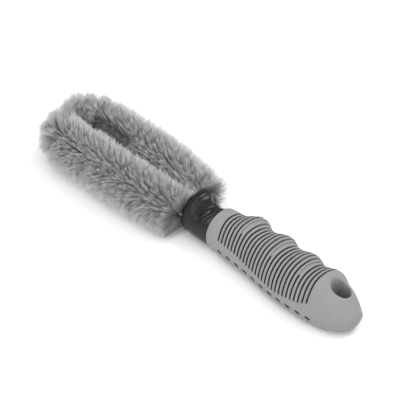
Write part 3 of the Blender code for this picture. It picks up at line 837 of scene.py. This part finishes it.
def bristle_points(path):
    """Points (bristle, ring, corner, 3) of tapered three-sided filaments round their centre lines."""
    heading = unit(path[:, -1] - path[:, 0])
    side = unit(np.cross(heading, heading[:, [1, 2, 0]] + (0.3, 0.2, 0.1)))
    above = np.cross(heading, side)
    radius = BRISTLE_R * (1.0 - 0.7 * np.linspace(0.0, 1.0, BRISTLE_RINGS) ** 2)
    turn = np.radians([0.0, 120.0, 240.0])
    around = side[:, None] * np.cos(turn)[None, :, None] + above[:, None] * np.sin(turn)[None, :, None]
    return path[:, :, None] + around[:, None] * radius[None, :, None, None]


def bristle_faces(count):
    """Triangles of every filament, closed at both ends."""
    one = []
    for ring in range(BRISTLE_RINGS - 1):
        for k in range(3):
            a, b = 3 * ring + k, 3 * ring + (k + 1) % 3
            one += [(a, b, b + 3), (a, b + 3, a + 3)]
    last = 3 * BRISTLE_RINGS - 3
    one += [(2, 1, 0), (last, last + 1, last + 2)]
    return (np.array(one)[None] + (3 * BRISTLE_RINGS * np.arange(count))[:, None, None]).reshape(-1, 3)


def bristle_mesh(name, path, shades, tone):
    """Filaments along their centre lines, with the attributes that their material reads."""
    points = bristle_points(path)
    faces = bristle_faces(len(path))
    mesh = bpy.data.meshes.new(name)
    mesh.vertices.add(points.size // 3)
    mesh.vertices.foreach_set("co", (points * MM).ravel())
    mesh.loops.add(faces.size)
    mesh.loops.foreach_set("vertex_index", faces.ravel().astype(np.int32))
    mesh.polygons.add(len(faces))
    mesh.polygons.foreach_set("loop_start", np.arange(0, faces.size, 3, dtype=np.int32))
    mesh.update(calc_edges=True)
    mesh.shade_smooth()
    # along carries the painted shade from root to tip; tone is a random tint per tuft.
    values = {"along": np.repeat(shades.ravel(), 3), "tone": np.repeat(tone, 3 * BRISTLE_RINGS)}
    for label in values:
        mesh.attributes.new(label, "FLOAT", "POINT").data.foreach_set("value", values[label])
    made = bpy.data.objects.new(name, mesh)
    bpy.context.collection.objects.link(made)
    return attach(made, BODY)


def bristle_pieces(material):
    """Bristles of both legs, each in two pieces, and of both halves of the tip."""
    generator = np.random.default_rng(SEED)
    middle_x = (LEG_LOW[0] + LEG_HIGH[0]) / 2
    spans = {"rear": (LEG_HIGH[0], middle_x), "front": (middle_x, LOOP_CENTRE_X)}
    for label, side in (("left", -1), ("right", 1)):
        for part, span in spans.items():
            roots = leg_roots(generator, span, side)
            path, along, tone = bristle_paths(generator, roots, side, False)
            piece = bristle_mesh(f"bristles_{label}_{part}", path, along, tone)
            finish_piece(piece, material, "filament", f"bristles_{label}_leg")
        path, along, tone = bristle_paths(generator, corner_roots(generator, side), side, True)
        piece = bristle_mesh(f"bristles_{label}_end", path, along, tone)
        finish_piece(piece, material, "filament", f"bristles_{label}_tip")


# ---------------------------------------------------------------- stage, light and camera

CAMERA_AZIMUTH = 45.5
CAMERA_ELEVATION = 40.0
CAMERA_DISTANCE = 1.25
CAMERA_LENS = 168.75
CAMERA_AIM = (-0.0015, 0.0046, 0.0201)
DIM_SIDE = (-0.45, 0.60, 0.66)
DIM_RANGE = (0.1, 0.8)  # cosine to the dim side, from bright to dim
WORLD_STRENGTH = (1.25, 0.45)


def add_camera():
    azimuth = math.radians(CAMERA_AZIMUTH)
    elevation = math.radians(CAMERA_ELEVATION)
    back = Vector((math.sin(azimuth) * math.cos(elevation), -math.cos(azimuth) * math.cos(elevation),
                   math.sin(elevation)))
    camera = bpy.data.objects.new("camera", bpy.data.cameras.new("camera"))
    camera.data.lens = CAMERA_LENS
    camera.data.sensor_width = 36.0
    camera.data.clip_end = 20.0
    camera.location = Vector(CAMERA_AIM) + back * CAMERA_DISTANCE
    camera.rotation_euler = back.to_track_quat("Z", "Y").to_euler()
    bpy.context.collection.objects.link(camera)
    bpy.context.scene.camera = camera


def add_area_light(name, location, size, watts):
    """A rectangular light aimed at the origin; size is (across, along)."""
    light = bpy.data.objects.new(name, bpy.data.lights.new(name, "AREA"))
    light.data.shape = "RECTANGLE"
    light.data.size, light.data.size_y = size
    light.data.energy = watts
    light.location = location
    light.rotation_euler = Vector(location).to_track_quat("Z", "Y").to_euler()
    bpy.context.collection.objects.link(light)


def add_world():
    """White surroundings, dimmer behind and to the left of the brush."""
    world = bpy.data.worlds.new("studio")
    bpy.context.scene.world = world
    world.use_nodes = True
    tree = world.node_tree
    background = tree.nodes["Background"]
    background.inputs["Color"].default_value = (1.0, 1.0, 1.0, 1.0)
    place = tree.nodes.new("ShaderNodeTexCoord")
    towards = tree.nodes.new("ShaderNodeVectorMath")
    towards.operation = "DOT_PRODUCT"
    towards.inputs[1].default_value = DIM_SIDE
    tree.links.new(place.outputs["Generated"], towards.inputs[0])
    fall = tree.nodes.new("ShaderNodeMapRange")
    fall.inputs["From Min"].default_value = DIM_RANGE[0]
    fall.inputs["From Max"].default_value = DIM_RANGE[1]
    fall.inputs["To Min"].default_value = WORLD_STRENGTH[0]
    fall.inputs["To Max"].default_value = WORLD_STRENGTH[1]
    tree.links.new(towards.outputs["Value"], fall.inputs["Value"])
    tree.links.new(fall.outputs["Result"], background.inputs["Strength"])


def add_floor():
    floor_z = cad_bounds[0][2]
    bpy.ops.mesh.primitive_plane_add(size=12.0, location=(0.0, 0.0, floor_z - 0.0001))
    floor = bpy.context.active_object
    floor.name = "floor"
    material, tree, shader = new_material("white_floor", (0.93, 0.93, 0.93), 0.9, specular=0.1)
    white = ramp(tree, noise_node(tree, 3.0).outputs["Fac"],
                 [(0.0, (0.925, 0.925, 0.925)), (1.0, (0.935, 0.935, 0.935))])
    tree.links.new(white, shader.inputs["Base Color"])
    floor.data.materials.append(material)


def build():
    rubber = rubber_material()
    plastic = plastic_material()
    steel = steel_material()
    filament = filament_material()
    grip_piece(rubber)
    core_piece(plastic)
    wire_piece("wire_a", "wire_strand_a", 0.0, steel)
    wire_piece("wire_b", "wire_strand_b", math.pi, steel)
    bristle_pieces(filament)
    for node in ("anchor_plate", "stem_ferrule_left", "stem_ferrule_right"):
        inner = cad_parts[node]
        inner.data.materials.clear()
        inner.data.materials.append(steel)
    bpy.context.scene.view_settings.view_transform = "Standard"
    add_floor()
    add_world()
    add_area_light("key", (0.15, 1.0, 1.25), (0.9, 0.9), 14.0)
    add_area_light("overhead", (-0.1, 0.1, 1.6), (1.4, 1.4), 4.0)
    add_area_light("near_strip", (-0.1, -0.75, 1.15), (0.2, 1.5), 7.0)
    add_camera()


build()
